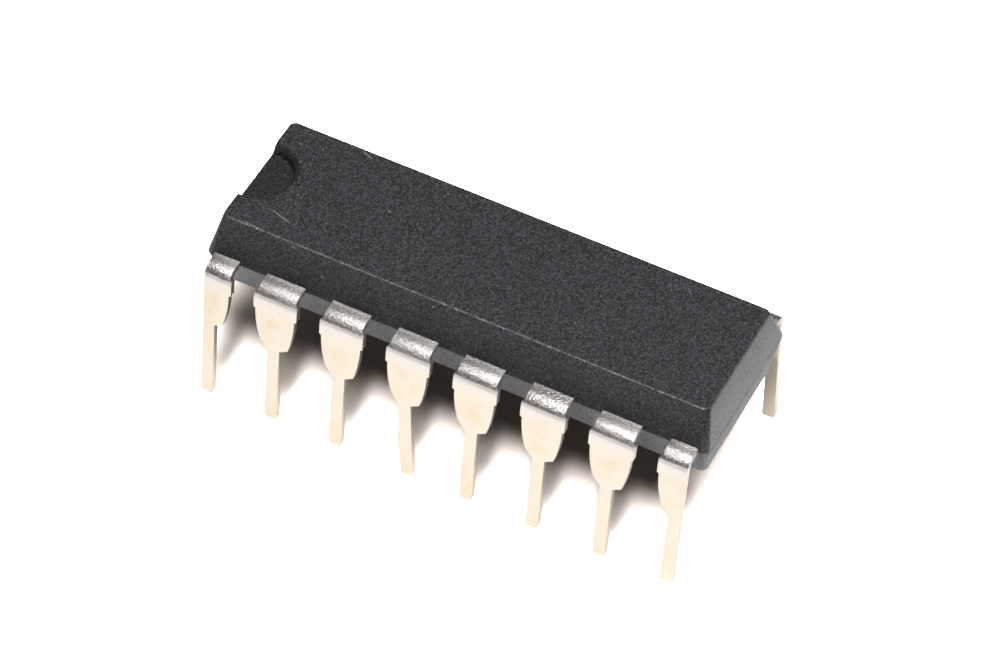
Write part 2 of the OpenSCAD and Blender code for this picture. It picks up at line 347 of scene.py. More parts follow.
class MouldFinish(Finish):
    """The finish of the moulding, worked out from where a point of it lies. Lengths are in millimetres."""

    def __init__(self, s):
        super().__init__(
            "Mould compound", IOR=1.5, Specular_IOR_Level=0.5, Coat_IOR=1.8, Coat_Roughness=0.35,
            Coat_Tint=(0.97, 0.96, 1.0, 1.0),
        )
        self.s = s
        self.find_places()
        self.fine = self.noise(self.p, 18.0, 3.0, 0.65)
        self.coarse = self.noise(self.p, 11.0, 2.0, 0.5)
        self.chips = self.noise(self.p, 3.6, 3.0, 0.7)
        self.ragged = self.noise(self.p, 5.0, 3.0, 0.7).rise(0.4, 0.56)
        self.grain = (self.fine * 0.8 + self.coarse * 0.2).rise(0.36, 0.68)

    def find_places(self):
        """Masks for the top, the notch, the walls, the ends and the part below the parting line."""
        s = self.s
        self.top = body_hi.z / MM
        self.parting = PARTING_Z / MM
        upper = self.top - self.parting
        self.half_l = s.length / MM / 2 - upper * math.tan(s.upper_end_draft)
        self.half_w = s.width / MM / 2 - upper * math.tan(s.upper_side_draft)
        self.past_end = abs(self.x) - self.half_l
        self.past_side = abs(self.y) - self.half_w
        from_end = self.x + self.half_l
        from_notch = (from_end * from_end + self.y * self.y).root()
        notch_edge = in_mm(s.notch_radius + s.notch_rim)
        notch_floor = self.top - s.notch_depth / MM
        above_floor = self.z.rise(notch_floor - 0.03, notch_floor - 0.01)
        self.in_notch = from_notch.rise(notch_edge + 0.08, notch_edge - 0.37) * above_floor
        self.on_top = self.z.rise(self.top - 0.03, self.top - 0.01).most(self.in_notch)
        self.on_wall = 1 - self.on_top
        self.on_end = self.past_end.rise(0.0, 0.04) * self.on_wall
        self.below = self.z.rise(self.parting, self.parting - 0.02)
        # down runs from 0 at the top of the upper walls to 1 at the parting line, and places the painted
        # shade there
        self.down = self.z.rise(self.top, self.parting) * self.on_wall * (1 - self.below)

    def compound(self):
        """Colour of the unworn compound: paler and darker grains in clouds, with painted shade in the notch
        and down the walls.
        """
        cloud = self.noise(self.p, 0.55, 2.0)
        level = (self.grain - 0.45) * (self.on_top * 0.6 + 1.8) + 0.33 + (cloud - 0.5) * 0.35
        # Painted shade: darker in the notch, and on the walls a little lighter near the top and darker down
        # to the parting line
        level = level - self.in_notch * 0.4 + self.on_wall * 0.08 - self.down * 0.3
        hue = self.noise(self.p, 6.0, 2.0).rise(0.4, 0.6)
        pale = self.mix(hue, self.s.grain_light, self.s.grain_warm)
        return self.mix(level.clamped(), self.s.compound, pale)

    def polish(self):
        """Shine of the skin: most on the end walls and below the parting line, none in the notch."""
        patches = (self.coarse * 0.4 + self.fine * 0.6).rise(0.36, 0.66)
        skin = self.on_end * 0.47 + self.below * (0.7 - self.on_end * 0.91) + 0.26
        skin = skin * ((patches - 0.5) * (1.5 - self.on_end * 0.9) + 0.98)
        on_side = self.on_wall * (1 - self.on_end)
        return skin * (1 - self.in_notch) * (on_side * (0.2 - self.down * 0.85) + 1)

    def specked(self):
        """Filler grains and dust that catch the light."""
        filler = self.specks(self.p, 5.0, 0.16, 0.17) * (self.on_top * 0.26 + 0.14)
        dust = self.specks(self.p, 11.0, 0.10, 0.26) * (self.on_top * 0.28 + 0.12)
        return filler.most(dust)

    def rim_scuffs_and_highlight(self):
        """Pale broken line on the rim of the top: scuffs and a painted highlight, strongest along the
        front.
        """
        rim = abs(self.past_end.most(self.past_side)).most(abs(self.z - self.top) * 0.8)
        nicks = self.noise(self.p, 13.0, 2.0, 0.6).rise(0.5, 0.62)
        broken = self.chips.rise(0.35, 0.6) * (nicks * 0.65 + 0.3) + nicks * 0.22 + 0.12
        # Painted highlight: the rim is paler along the front and at the right end than elsewhere
        front = self.y.rise(0.0, -1.0) * self.past_side.rise(-0.12, -0.05)
        right = self.x.rise(self.half_l - 0.3, self.half_l - 0.1)
        return rim.rise(0.042, 0.01) * broken * (front * 0.68 + right * 0.3 + 0.08)

    def worn_and_highlit(self):
        """Everything that is paler than the compound: the scuffed rim with its painted highlight, specks
        and scratches.
        """
        worn_and_highlit = self.rim_scuffs_and_highlight().most(self.specked())
        near_top = self.z.rise(self.top - 0.06, self.top - 0.03)
        for start, end, width in TOP_SCRATCHES:
            mark = self.stroke(self.x, self.y, start, end, width) * near_top
            worn_and_highlit = worn_and_highlit.most(mark * (self.chips.rise(0.3, 0.5) * 0.3 + 0.15))
        on_front = self.y.rise(-2, -2.4)
        for start, end, width in WALL_SCRATCHES:
            worn_and_highlit = worn_and_highlit.most(self.stroke(self.x, self.z, start, end, width) * on_front * 0.45)
        for place, reach in PLACED_SPECKS:
            worn_and_highlit = worn_and_highlit.most(self.distance_to(place).rise(reach, reach * 0.4))
        return worn_and_highlit


def mould_compound(s):
    """Near-black filled epoxy: fine matt grain, pale filler specks, scratches and scuffed edges with a
    painted highlight, painted shade in the notch and down the walls, and a painted sheen low on the ends.
    """
    f = MouldFinish(s)
    worn_and_highlit = f.worn_and_highlit()
    seam = abs(f.z - f.parting).rise(0.05, 0.015)
    gap = abs(f.z - f.parting + 0.07).rise(0.12, 0.05) * f.on_end * (f.ragged * 0.8 + 0.2)
    colour = f.mix((worn_and_highlit * s.wear_and_highlight).clamped(), f.compound(), s.worn_and_highlit)
    colour = f.mix(seam * 0.5 * f.chips.rise(0.3, 0.55), colour, SEAM_TONE)
    # Painted sheen: the end walls below the parting line are painted paler
    colour = f.mix(f.below * f.on_end * 0.5, colour, LOW_END_SHEEN_TONE)
    smooth = f.noise(f.p, 2.2, 2.0)
    height = f.fine * 0.6 + f.coarse * 0.4 - worn_and_highlit * 0.25 + seam * 0.25 - gap * f.ragged
    return f.feed(
        Base_Color=colour,
        Roughness=0.44 + f.grain * 0.2 + smooth * 0.08 - worn_and_highlit * 0.1,
        Coat_Weight=(f.polish() * (1 - gap * 0.85)).clamped(),
        Normal=f.bump(height, 0.07 * MM, 0.6),
    )


def tinned(s):
    """Solder-dipped tin: satin ivory metal, grainy where it was bent, stained in places, with painted
    highlight and painted shade on the shoulders and bends.
    """
    f = Finish("Tinned lead", Metallic=1.0)
    top = in_mm(lead_hi.z)
    ledge = in_mm(s.pin_length)
    wall = in_mm(body_hi.y)
    bend = f.z.rise(top - 0.345, top - 0.225)
    low = f.z.rise(top - 0.125, top - 0.225)
    flat = f.z.rise(top - 0.065, top - 0.015)
    leg_top = f.z.rise(top - 1.025, top - 0.425)
    by_body_highlight = abs(f.y).rise(wall + 0.125, wall + 0.045)
    dull = f.x.rise(-8.3, -7.2) * f.x.rise(1.0, -1.0)
    on_leads = (f.x * (2 * math.pi / in_mm(s.pitch))).cosine().rise(-0.2, -0.95)
    middle = on_leads * f.z.rise(ledge + 0.07, ledge + 0.67) * f.z.rise(ledge + 1.87, ledge + 1.27)
    grit = f.noise(f.p, 13.0, 3.0, 0.65)
    ripple = f.noise(f.stretched(1, 2.2, 2.2), 5.0, 3.0)
    cloud = f.noise(f.p, 1.3, 3.0, 0.6)
    pits = f.specks(f.p, 6.0, 0.08, 0.2) * 0.5
    stain = cloud.rise(0.52, 0.72) * 0.3 + middle * cloud.rise(0.4, 0.58) * 0.4
    stain = stain + f.z.rise(ledge + 0.07, 0.0) * 0.2
    leg = f.mix(leg_top * 0.7, f.mix(stain, s.tin, s.stain), LEG_TOP_TONE)
    # Painted shade: the lower part of each bend is painted darker, under its highlight
    bent = f.mix(low, BEND_TONE, LOW_BEND_SHADE_TONE)
    # Painted highlight and shade: the shoulders are lighter next to the body and darker further out
    level = f.mix(by_body_highlight, SHOULDER_SHADE_TONE, BY_BODY_HIGHLIGHT_TONE)
    colour = f.mix(bend * 0.9, leg, f.mix(flat, bent, level))
    colour = f.mix((pits + bend * grit.rise(0.56, 0.42) * 0.6).clamped(), colour, GRIT_TONE)
    height = grit * (bend * 1.2 + 0.08) + ripple * (bend * 0.3 + 0.08) - pits * 0.3
    return f.feed(
        Base_Color=colour,
        Roughness=0.30 + grit * 0.1 + cloud * 0.08 - bend * 0.05 + dull * bend * 0.08,
        Normal=f.bump(height, 0.045 * MM, 0.6),
    )


def stamped_alloy():
    """Plated copper alloy of the frame inside, with fine rolling lines along the strip."""
    f = Finish("Lead frame alloy", Metallic=1.0)
    lines = f.noise(f.stretched(1, 14, 14), 2.0, 3.0)
    colour = f.mix(lines, (0.74, 0.46, 0.31), (0.83, 0.58, 0.42))
    return f.feed(Base_Color=colour, Roughness=0.28 + lines * 0.15, Normal=f.bump(lines, 0.01 * MM, 0.4))


def silver_paste():
    """Silver-filled epoxy under the die."""
    f = Finish("Die bond paste", Metallic=0.8)
    flakes = f.noise(f.p, 30.0, 2.0)
    colour = f.mix(flakes, (0.55, 0.55, 0.54), (0.8, 0.8, 0.78))
    return f.feed(Base_Color=colour, Roughness=0.45 + flakes * 0.2, Normal=f.bump(flakes, 0.01 * MM, 0.5))


def silicon_die():
    """Silicon with a faint grid of circuit blocks that shimmer between blue and green."""
    f = Finish("Silicon die", Metallic=0.35, Coat_Weight=0.6)
    grid = {"Vector": f.p, "Scale": 9.0, "Mortar Size": 0.03}
    blocks = f.node("ShaderNodeTexBrick", {"offset": 0.5}, grid, out=1)
    tint = f.noise(f.p, 6.0, 1.0)
    colour = f.mix(tint, (0.10, 0.13, 0.2), (0.16, 0.24, 0.2))
    colour = f.mix(blocks, colour, (0.45, 0.44, 0.4))
    return f.feed(Base_Color=colour, Roughness=0.15 + tint * 0.1, Normal=f.bump(blocks, 0.004 * MM, 0.4))


def gold_wire():
    """Drawn gold."""
    f = Finish("Bond wire gold", Metallic=1.0)
    draw = f.noise(f.p, 40.0, 2.0)
    colour = f.mix(draw, (0.9, 0.62, 0.2), (1.0, 0.77, 0.34))
    return f.feed(Base_Color=colour, Roughness=0.2 + draw * 0.12, Normal=f.bump(draw, 0.003 * MM, 0.5))


# Mesh helpers

BEVEL_STEPS = 3


def add_object(name, data):
    """A new object in the scene."""
    made = bpy.data.objects.new(name, data)
    bpy.context.scene.collection.objects.link(made)
    return made


def new_piece(name, mesh, material, node):
    """Wraps a finished mesh as a piece that stands for a CAD node and rides on the chip's one body."""
    piece = add_object(name, mesh)
    mesh.materials.clear()
    mesh.materials.append(material)
    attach(piece, "root")
    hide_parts(node)


def drafted(name, bm):
    """Puts a finished bmesh into the scene as a plain object, so that modifiers can work on it."""
    mesh = bpy.data.meshes.new(name)
    bm.to_mesh(mesh)
    bm.free()
    return add_object(name, mesh)


def round_edges(draft, name, width, **limit):
    """Shades a draft smoothly and rounds those of its edges that the limit picks."""
    for face in draft.data.polygons:
        face.use_smooth = True
    bevel = draft.modifiers.new(name, "BEVEL")
    bevel.width = width
    bevel.segments = BEVEL_STEPS
    for key, value in limit.items():
        setattr(bevel, key, value)


def settled(draft):
    """The plain mesh of an object with its modifiers, shaded smooth but for its sharp edges."""
    bpy.context.view_layer.update()
    graph = bpy.context.evaluated_depsgraph_get()
    mesh = bpy.data.meshes.new_from_object(
        draft.evaluated_get(graph), preserve_all_data_layers=True, depsgraph=graph
    )
    mesh.name = draft.name
    old = draft.data
    bpy.data.objects.remove(draft)
    bpy.data.meshes.remove(old)
    return mesh


def even_normals(draft):
    """Keeps the large faces flat while the rounded edges shade smoothly."""
    even = draft.modifiers.new("Even normals", "WEIGHTED_NORMAL")
    even.keep_sharp = True
    even.weight = 100


# The moulding: steps of its rounded stretches
CORNER_STEPS = 8
RIM_STEPS = 8
FILLET_STEPS = 4
NOTCH_SPOKES = 36
MARK_SPOKES = 40

# Edges that turn by more than this are rounded: in full, or by these shares of the full rounding along the
# parting line and round the shallow ejector marks
ROUNDED_FROM = math.radians(30)
PARTING_SHARE = 0.3
MARK_SHARE = 0.6
SAME_HEIGHT = 1e-7


class MouldShape:
    """The moulded shell: walls that lean from the parting line, the notch and two ejector marks."""

    def __init__(self, s):
        self.s = s
        self.bm = bmesh.new()
        self.high = self.ring(body_hi.z, s.upper_end_draft, s.upper_side_draft)
        self.middle = self.ring(PARTING_Z, s.upper_end_draft, s.upper_side_draft)
        self.low = self.ring(body_lo.z, s.lower_end_draft, s.lower_side_draft)
        # Where the end wall at -X starts and ends on the way round a ring
        self.wall_start = 2 * CORNER_STEPS + 1
        self.wall_end = self.wall_start + 1

    def points(self, places):
        """A new point of the mesh at each place."""
        return [self.bm.verts.new(place) for place in places]

    def ring(self, z, end_draft, side_draft):
        """The outline at a height, a rounded rectangle drawn anticlockwise from the +X side."""
        s = self.s
        drop = abs(z - PARTING_Z)
        straight_x = s.length / 2 - drop * math.tan(end_draft) - s.corner_radius
        straight_y = s.width / 2 - drop * math.tan(side_draft) - s.corner_radius
        places = []
        for corner, (sx, sy) in enumerate(((1, 1), (-1, 1), (-1, -1), (1, -1))):
            for k in range(CORNER_STEPS + 1):
                a = math.radians(90 * (corner + k / CORNER_STEPS))
                x = sx * straight_x + s.corner_radius * math.cos(a)
                y = sy * straight_y + s.corner_radius * math.sin(a)
                places.append((x, y, z))
        return self.points(places)

    def notch_profile(self):
        """Radius and height down the notch: the rounded rim, the wall and the fillet at the floor."""
        s = self.s
        profile = []
        for k in range(RIM_STEPS + 1):
            a = math.radians(90 + 90 * k / RIM_STEPS)
            r = s.notch_radius + s.notch_rim * (1 + math.cos(a))
            profile.append((r, body_hi.z - s.notch_rim * (1 - math.sin(a))))
        for k in range(FILLET_STEPS + 1):
            a = math.radians(90 * k / FILLET_STEPS)
            r = s.notch_radius - s.notch_fillet * (1 - math.cos(a))
            profile.append((r, body_hi.z - s.notch_depth + s.notch_fillet * (1 - math.sin(a))))
        return profile

    def notch(self):
        """The notch and the top face round it, as circles that the leaning end wall cuts off."""
        end_x = self.high[self.wall_start].co.x
        lean = math.tan(self.s.upper_end_draft)
        circles = []
        for r, z in self.notch_profile():
            widest = math.acos(max(-1, min(1, -(body_hi.z - z) * lean / r)))
            angles = (widest * (2 * k / NOTCH_SPOKES - 1) for k in range(NOTCH_SPOKES + 1))
            circles.append(self.points((end_x + r * math.cos(a), r * math.sin(a), z) for a in angles))
        for upper, lower in zip(circles, circles[1:]):
            for k in range(NOTCH_SPOKES):
                self.bm.faces.new((upper[k], upper[k + 1], lower[k + 1], lower[k]))
        self.bm.faces.new(circles[-1])
        self.bm.faces.new(self.high[: self.wall_end] + circles[0][::-1] + self.high[self.wall_end :])
        return circles

    def pocket(self, inset):
        """Six points round the opening where the end of the tie bar shows, this far behind the wall."""
        s = self.s
        across, deep = s.tie_width / 2, LEAD_THICKNESS / 2
        upper_x = deep * math.tan(s.upper_end_draft)
        lower_x = deep * math.tan(s.lower_end_draft)
        places = (
            (lower_x, -across, -deep), (0, -across, 0), (upper_x, -across, deep),
            (upper_x, across, deep), (0, across, 0), (lower_x, across, -deep),
        )
        return self.points((inset - s.length / 2 + x, y, PARTING_Z + z) for x, y, z in places)

    def notched_end(self):
        """The upper end wall at -X with the notch and the tie bar's opening. Gives the opening's points."""
        notch = self.notch()
        mouth, inside = self.pocket(0), self.pocket(self.s.tie_pocket)
        for k in range(6):
            j = (k + 1) % 6
            self.bm.faces.new((mouth[k], mouth[j], inside[j], inside[k]))
        self.bm.faces.new(inside[:2] + inside[4:])
        self.bm.faces.new(inside[1:5])
        first, last = self.wall_start, self.wall_end
        round_notch = [c[-1] for c in notch] + [c[0] for c in notch[::-1]]
        below = [self.middle[last]] + mouth[1:5] + [self.middle[first]]
        self.bm.faces.new([self.high[first]] + round_notch + [self.high[last]] + below)
        return mouth, inside

    def mark_circle(self, x, z):
        """One circle of an ejector mark."""
        r = self.s.mark_diameter / 2
        angles = (2 * math.pi * k / MARK_SPOKES for k in range(MARK_SPOKES))
        return self.points((x + r * math.cos(a), r * math.sin(a), z) for a in angles)

    def underside(self):
        """Two halves that meet along the middle, each with half of both ejector marks."""
        s = self.s
        bottom = body_lo.z
        start, end = self.points((self.low[k].co.x, 0, bottom) for k in (self.wall_start, -1))
        rims, mark_points = [], set()
        for side in (-1, 1):
            rim, floor = (self.mark_circle(side * s.mark_span / 2, bottom + d) for d in (0, s.mark_depth))
            for k in range(MARK_SPOKES):
                j = (k + 1) % MARK_SPOKES
                self.bm.faces.new((rim[k], rim[j], floor[j], floor[k]))
            self.bm.faces.new(floor)
            rims.append(rim)
            mark_points.update(rim + floor)
        near, far = rims
        turn_back = MARK_SPOKES // 2
        upper = [start] + near[turn_back::-1] + far[turn_back::-1] + [end]
        self.bm.faces.new(upper + self.low[: self.wall_end])
        lower = [start] + near[turn_back:] + [near[0]] + far[turn_back:] + [far[0]] + [end]
        self.bm.faces.new(lower + self.low[self.wall_end :][::-1])
        return start, end, mark_points

    def walls(self, mouth, start, end):
        """The leaning walls, where start and end are the points in which the underside's halves meet."""
        high, middle, low = self.high, self.middle, self.low
        count = len(middle)
        for k in range(count):
            j = (k + 1) % count
            if k != self.wall_start:
                self.bm.faces.new((high[k], high[j], middle[j], middle[k]))
            halves = {self.wall_start: [start], count - 1: [end]}.get(k, [])
            opening = mouth[4:] + mouth[:2] if k == self.wall_start else []
            self.bm.faces.new([middle[k]] + opening + [middle[j], low[j]] + halves + [low[k]])

    def set_rounding(self, pocket_points, mark_points):
        """Says how round each edge becomes, as its bevel weight. The pocket stays sharp."""
        weight = self.bm.edges.layers.float.new("bevel_weight_edge")
        for edge in self.bm.edges:
            parting = all(abs(v.co.z - PARTING_Z) < SAME_HEIGHT for v in edge.verts)
            shallow = all(v in mark_points for v in edge.verts)
            sharp = all(v in pocket_points for v in edge.verts)
            if edge.calc_face_angle(0) > ROUNDED_FROM and not sharp:
                edge[weight] = PARTING_SHARE if parting else MARK_SHARE if shallow else 1.0

    def draft(self, name):
        """The whole shell as an object, with its edges marked for rounding."""
        mouth, inside = self.notched_end()
        start, end, mark_points = self.underside()
        self.walls(mouth, start, end)
        bmesh.ops.recalc_face_normals(self.bm, faces=self.bm.faces)
        self.set_rounding(set(mouth + inside), mark_points)
        return drafted(name, self.bm)


# The leads: steps of their outline along the shoulder, the stubs, the leg and the rounded tip, and the
# length over which the outline steps out to a stub
SHOULDER_STEPS = 14
STUB_STEPS = 8
LEG_STEPS = 6
TIP_STEPS = 4
STEP_OUT = 0.05 * MM
STAMPED_FROM = math.radians(50)
BENT_LEAD = 4

# The lead frame inside the body, in millimetres, as in the CAD model
ROOT_END = in_mm(body_hi.y) - 0.5
FINGER_WIDTH = 0.28
INNER_GAP = 0.22
PADDLE_LENGTH = 3.4
PADDLE_WIDTH = 2.6
TIE_BAR_WIDTH = 0.3
STEP_IN = 0.05
# How much of the way in each finger runs straight before it turns towards the paddle
TURN_AT = {1: 0.64, 2: 0.545, 3: 0.28, 4: 0.166}


def finger_route(place):
    """The inner finger's middle line from the root to its tip by the paddle, for the first four leads."""
    def along_row(number):
        return (number - (ROW_COUNT + 1) / 2) * LEAD_PITCH / MM

    tip = PADDLE_WIDTH / 2 + INNER_GAP
    depth = ROOT_END - tip
    end_tip = PADDLE_LENGTH / 2 + INNER_GAP
    first_row = TIE_BAR_WIDTH / 2 + INNER_GAP + FINGER_WIDTH / 2
    second_row = first_row + FINGER_WIDTH + INNER_GAP
    tip_pitch = 0.22 * PADDLE_LENGTH
    last_part = {
        1: [(along_row(1.8), first_row), (-end_tip, first_row)],
        2: [(along_row(2.67), second_row), (-end_tip, second_row)],
        3: [(-1.95 * tip_pitch, tip + 0.284 * depth), (-1.5 * tip_pitch, tip)],
        4: [(-0.8 * tip_pitch, tip + 0.379 * depth), (-0.5 * tip_pitch, tip)],
    }
    u = along_row(place)
    return [(u, ROOT_END + STEP_IN), (u, ROOT_END - TURN_AT[place] * depth)] + last_part[place]


def mitred(points, half):
    """Both sides of a strip of constant width along a line of points."""
    points = [Vector(p) for p in points]
    sides = []
    for k, p in enumerate(points):
        a = (points[max(k, 1)] - points[max(k, 1) - 1]).normalized()
        b = (points[min(k + 1, len(points) - 1)] - points[min(k, len(points) - 2)]).normalized()
        across = Vector((-(a + b).y, (a + b).x)) * half / (1 + a.dot(b))
        sides.append((p + across, p - across))
    return sides


class LeadShape:
    """The flat outline of a lead, before it is bent.

    u runs along the row, and v outwards and then down the strip, from 0 at the start of the bend.
    """

    def __init__(self, s):
        self.s = s
        self.centre_z = PARTING_Z - s.thickness / 2 - s.bend_radius
        self.bend_angle = math.pi / 2 - s.splay
        self.centre_v = s.row_width / 2 - (s.bend_radius + s.thickness) * math.cos(s.splay)
        self.mid_r = s.bend_radius + s.thickness / 2
        self.bend_l = self.mid_r * self.bend_angle
        self.bend_end_z = self.centre_z + self.mid_r * math.cos(self.bend_angle)

    def along(self, z):
        """How far down the strip a height lies."""
        if z >= self.bend_end_z:
            return self.mid_r * math.acos(max(-1, min(1, (z - self.centre_z) / self.mid_r)))
        return self.bend_l + (self.bend_end_z - z) / math.cos(self.s.splay)

    def wide_side(self, foot_z):
        """A side with its stub and the curved taper of the leg down to the foot."""
        s = self.s
        stub_top = PARTING_Z - s.stub_drop
        leg_top = stub_top - s.stub_height - STEP_OUT
        side = [(s.shoulder_width / 2, self.along(stub_top + STEP_OUT))]
        for k in range(STUB_STEPS + 1):
            side.append((s.stub_width / 2, self.along(stub_top - s.stub_height * k / STUB_STEPS)))
        for k in range(LEG_STEPS + 1):
            t = k / LEG_STEPS
            u = s.neck_width / 2 - (s.neck_width - s.foot_width) / 2 * t * t
            side.append((u, self.along(leg_top + (foot_z - leg_top) * t)))
        return side

    def side(self, kind):
        """Half widths down one side of the leg, which ends in a ledge or a slant, or runs straight."""
        s = self.s
        half_pin = s.pin_width / 2
        if kind == "slant":
            slant = self.wide_side(s.pin_length + s.foot_height - s.ledge_rise / 2)
            return slant + [(half_pin, self.along(s.pin_length - s.ledge_rise / 2))]
        ledge = self.wide_side(s.pin_length + s.ledge_rise) + [(half_pin, self.along(s.pin_length))]
        return ledge if kind == "ledge" else [(half_pin, v) for _, v in ledge]

    def rows(self, place, bent):
        """Left and right point of each row across the blank, from the root inside the body to the tip."""
        s = self.s
        right = self.side("straight" if place == ROW_COUNT else "ledge")
        left = self.side("straight" if place == 1 else "slant")
        half_pin, half_wide = s.pin_width / 2, s.shoulder_width / 2
        wide_r = half_pin if place == ROW_COUNT else half_wide
        wide_l = half_pin if place == 1 else half_wide
        root = ROOT_END * MM - self.centre_v
        first = right[0][1]
        plain = [root, root / 2, 0] + [first * k / SHOULDER_STEPS for k in range(1, SHOULDER_STEPS)]
        rows = [((-wide_l, v), (wide_r, v)) for v in plain]
        rows += [((-lu, lv), (ru, rv)) for (lu, lv), (ru, rv) in zip(left, right)]
        end = self.along(0) - s.thickness / 2 * math.tan(s.splay)
        for k in range(TIP_STEPS + 1):
            a = math.radians(90 * k / TIP_STEPS)
            u = half_pin - s.tip_radius * (1 - math.cos(a))
            v = end - s.tip_radius * (1 - math.sin(a))
            rows.append(((-u + bent, v), (u + bent, v)))
        return rows

    def strip(self, bm, sections):
        """Adds a flat strip through sections, each given as its left and right point."""
        thickness = self.s.thickness
        loops = []
        for (lu, lv), (ru, rv) in sections:
            corners = ((lu, lv, 0), (ru, rv, 0), (ru, rv, thickness), (lu, lv, thickness))
            loops.append([bm.verts.new(corner) for corner in corners])
        for a, b in zip(loops, loops[1:]):
            for k in range(4):
                j = (k + 1) % 4
                bm.faces.new((a[k], a[j], b[j], b[k]))
        bm.faces.new(loops[0])
        bm.faces.new(loops[-1][::-1])

    def blank(self, name, place, bent):
        """The flat lead at a place of its row, with its inner finger."""
        centre = (place - (ROW_COUNT + 1) / 2) * self.s.pitch
        bm = bmesh.new()
        self.strip(bm, [((l[0] + centre, l[1]), (r[0] + centre, r[1])) for l, r in self.rows(place, bent)])
        near = min(place, ROW_COUNT + 1 - place)
        mirrored = 1 if near == place else -1
        finger = []
        for pair in mitred(finger_route(near), FINGER_WIDTH / 2):
            finger.append([(p.x * MM * mirrored, p.y * MM - self.centre_v) for p in pair])
        self.strip(bm, finger)
        bmesh.ops.recalc_face_normals(bm, faces=bm.faces)
        return drafted(name, bm)


def bend_tree(shape, material):
    """Geometry Nodes tree that lays a flat blank along the bent path of a lead."""
    s = shape.s
    group = bpy.data.node_groups.new("Bend strip", "GeometryNodeTree")
    face = group.interface
    face.new_socket("Blank", in_out="INPUT", socket_type="NodeSocketGeometry")
    for name, value in (
        ("Bend start", shape.centre_v),
        ("Bend height", shape.centre_z),
        ("Inside radius", s.bend_radius),
        ("Bend angle", shape.bend_angle),
        ("Path radius", shape.mid_r),
        ("Row side", 1.0),
    ):
        socket = face.new_socket(name, in_out="INPUT", socket_type="NodeSocketFloat")
        socket.default_value = value
    face.new_socket("Lead", in_out="OUTPUT", socket_type="NodeSocketGeometry")
    t = Tree(group)
    given = t.node("NodeGroupInput")
    start, height, inside, angle, path, side = (t.also(given, k) for k in range(1, 7))
    u, v, w = t.parts(t.node("GeometryNodeInputPosition"))
    bend_l = path * angle
    turned = v.most(0.0).least(bend_l) / path
    beyond = (v - bend_l).most(0.0)
    before = v.least(0.0)
    reach = inside + w
    out = start + before + reach * turned.sine() + beyond * angle.cosine()
    up = height + reach * turned.cosine() - beyond * angle.sine()
    laid = t.node("GeometryNodeSetPosition", None, {0: given, "Position": t.join(u, out * side, up)})
    turned_round = t.node("GeometryNodeFlipFaces", None, {0: laid})
    backwards = t.node("FunctionNodeCompare", {"operation": "LESS_THAN"}, {0: side, 1: 0.0})
    either = {0: backwards, 1: laid, 2: turned_round}
    chosen = t.node("GeometryNodeSwitch", {"input_type": "GEOMETRY"}, either)
    real = t.node("GeometryNodeRealizeInstances", None, {0: chosen})
    dressed = t.node("GeometryNodeSetMaterial", None, {0: real})
    dressed.socket.node.inputs["Material"].default_value = material
    t.node("NodeGroupOutput", None, {0: dressed})
    return group


def set_input(modifier, name, value):
    """Sets a Geometry Nodes input by its socket identifier."""
    for item in modifier.node_group.interface.items_tree:
        if item.name == name and item.in_out == "INPUT":
            modifier[item.identifier] = value


# Stage

# The floor reaches this far each way, and between these distances it fades to white for the camera
FLOOR_HALF = 0.6
FLOOR_FADE = (0.02, 0.06)

# What the camera sees of the paper and of its painted shade. The paper is over 1 to stay white under the
# one lamp.
SEEN_PAPER = (5.0, 4.55, 4.3)
SEEN_SHADE = (0.27, 0.23, 0.2)

# What the metal mirrors: bright paper near the chip, grey past these distances, and a paler painted shade
MIRRORED_PAPER = (1.25, 1.25, 1.25)
MIRRORED_BEYOND = (0.22, 0.22, 0.22)
MIRRORED_FADE = (0.02, 0.036)
MIRRORED_SHADE = (0.3, 0.27, 0.25)
MIRRORED_SHARE = 0.75

# Edges of the painted shade under the chip, in millimetres: left, right, front and back, each as the place
# where the shade ends and the place where it is full
SHADE_EDGES = ((-13.4, -8.5), (8.7, 6.5), (-2.2, -0.4), (5.6, 0.8))

# Soft painted shadows of the front pins on the floor: the same edges, then their depth, how far they
# lean towards -X for each millimetre back from the tips, and how the shadows fade into the gaps
PIN_EDGES = ((-10.4, -9.0), (8.3, 7.3), (-5.4, -2.4), (0.5, -0.5))
PIN_DEPTH = 0.79
PIN_LEAN = 0.25
PIN_FADE = (-0.6, 1.0)

# The lamp over the chip, and the point it is aimed at
KEY_PLACE = Vector((0.028, -0.04, 0.19))
KEY_AIM = Vector((0, 0, 0.004))
KEY_SIZE = 0.08

# How steeply up one has to look for the room to start getting brighter, and for its full light
ROOM_RISE = (0.4, 0.8)

# The camera looks past the chip's middle, by so many millimetres to the right and below
CAMERA_RIGHT = 0.216
CAMERA_DOWN = 1.419
SENSOR_WIDTH = 36.0
CLIP_RANGE = (0.001, 10.0)


def floor_shade(x, y, pitch):
    """Share of painted shade at a point of the floor, under the chip and behind the front pins."""
    across = x + (y - lead_lo.y) * PIN_LEAN + pitch / 2
    pins = (across * (2 * math.pi / pitch)).cosine().rise(*PIN_FADE) * PIN_DEPTH
    under = 1.0
    for place, (light, dark), (pin_light, pin_dark) in zip((x, x, y, y), SHADE_EDGES, PIN_EDGES):
        under = place.rise(light * MM, dark * MM) * under
        pins = place.rise(pin_light * MM, pin_dark * MM) * pins
    return 1 - (1 - under) * (1 - pins)


def bare_tree(holder):
    """The node tree of a new material or world, emptied."""
    holder.use_nodes = True
    holder.node_tree.nodes.clear()
    return Tree(holder.node_tree)


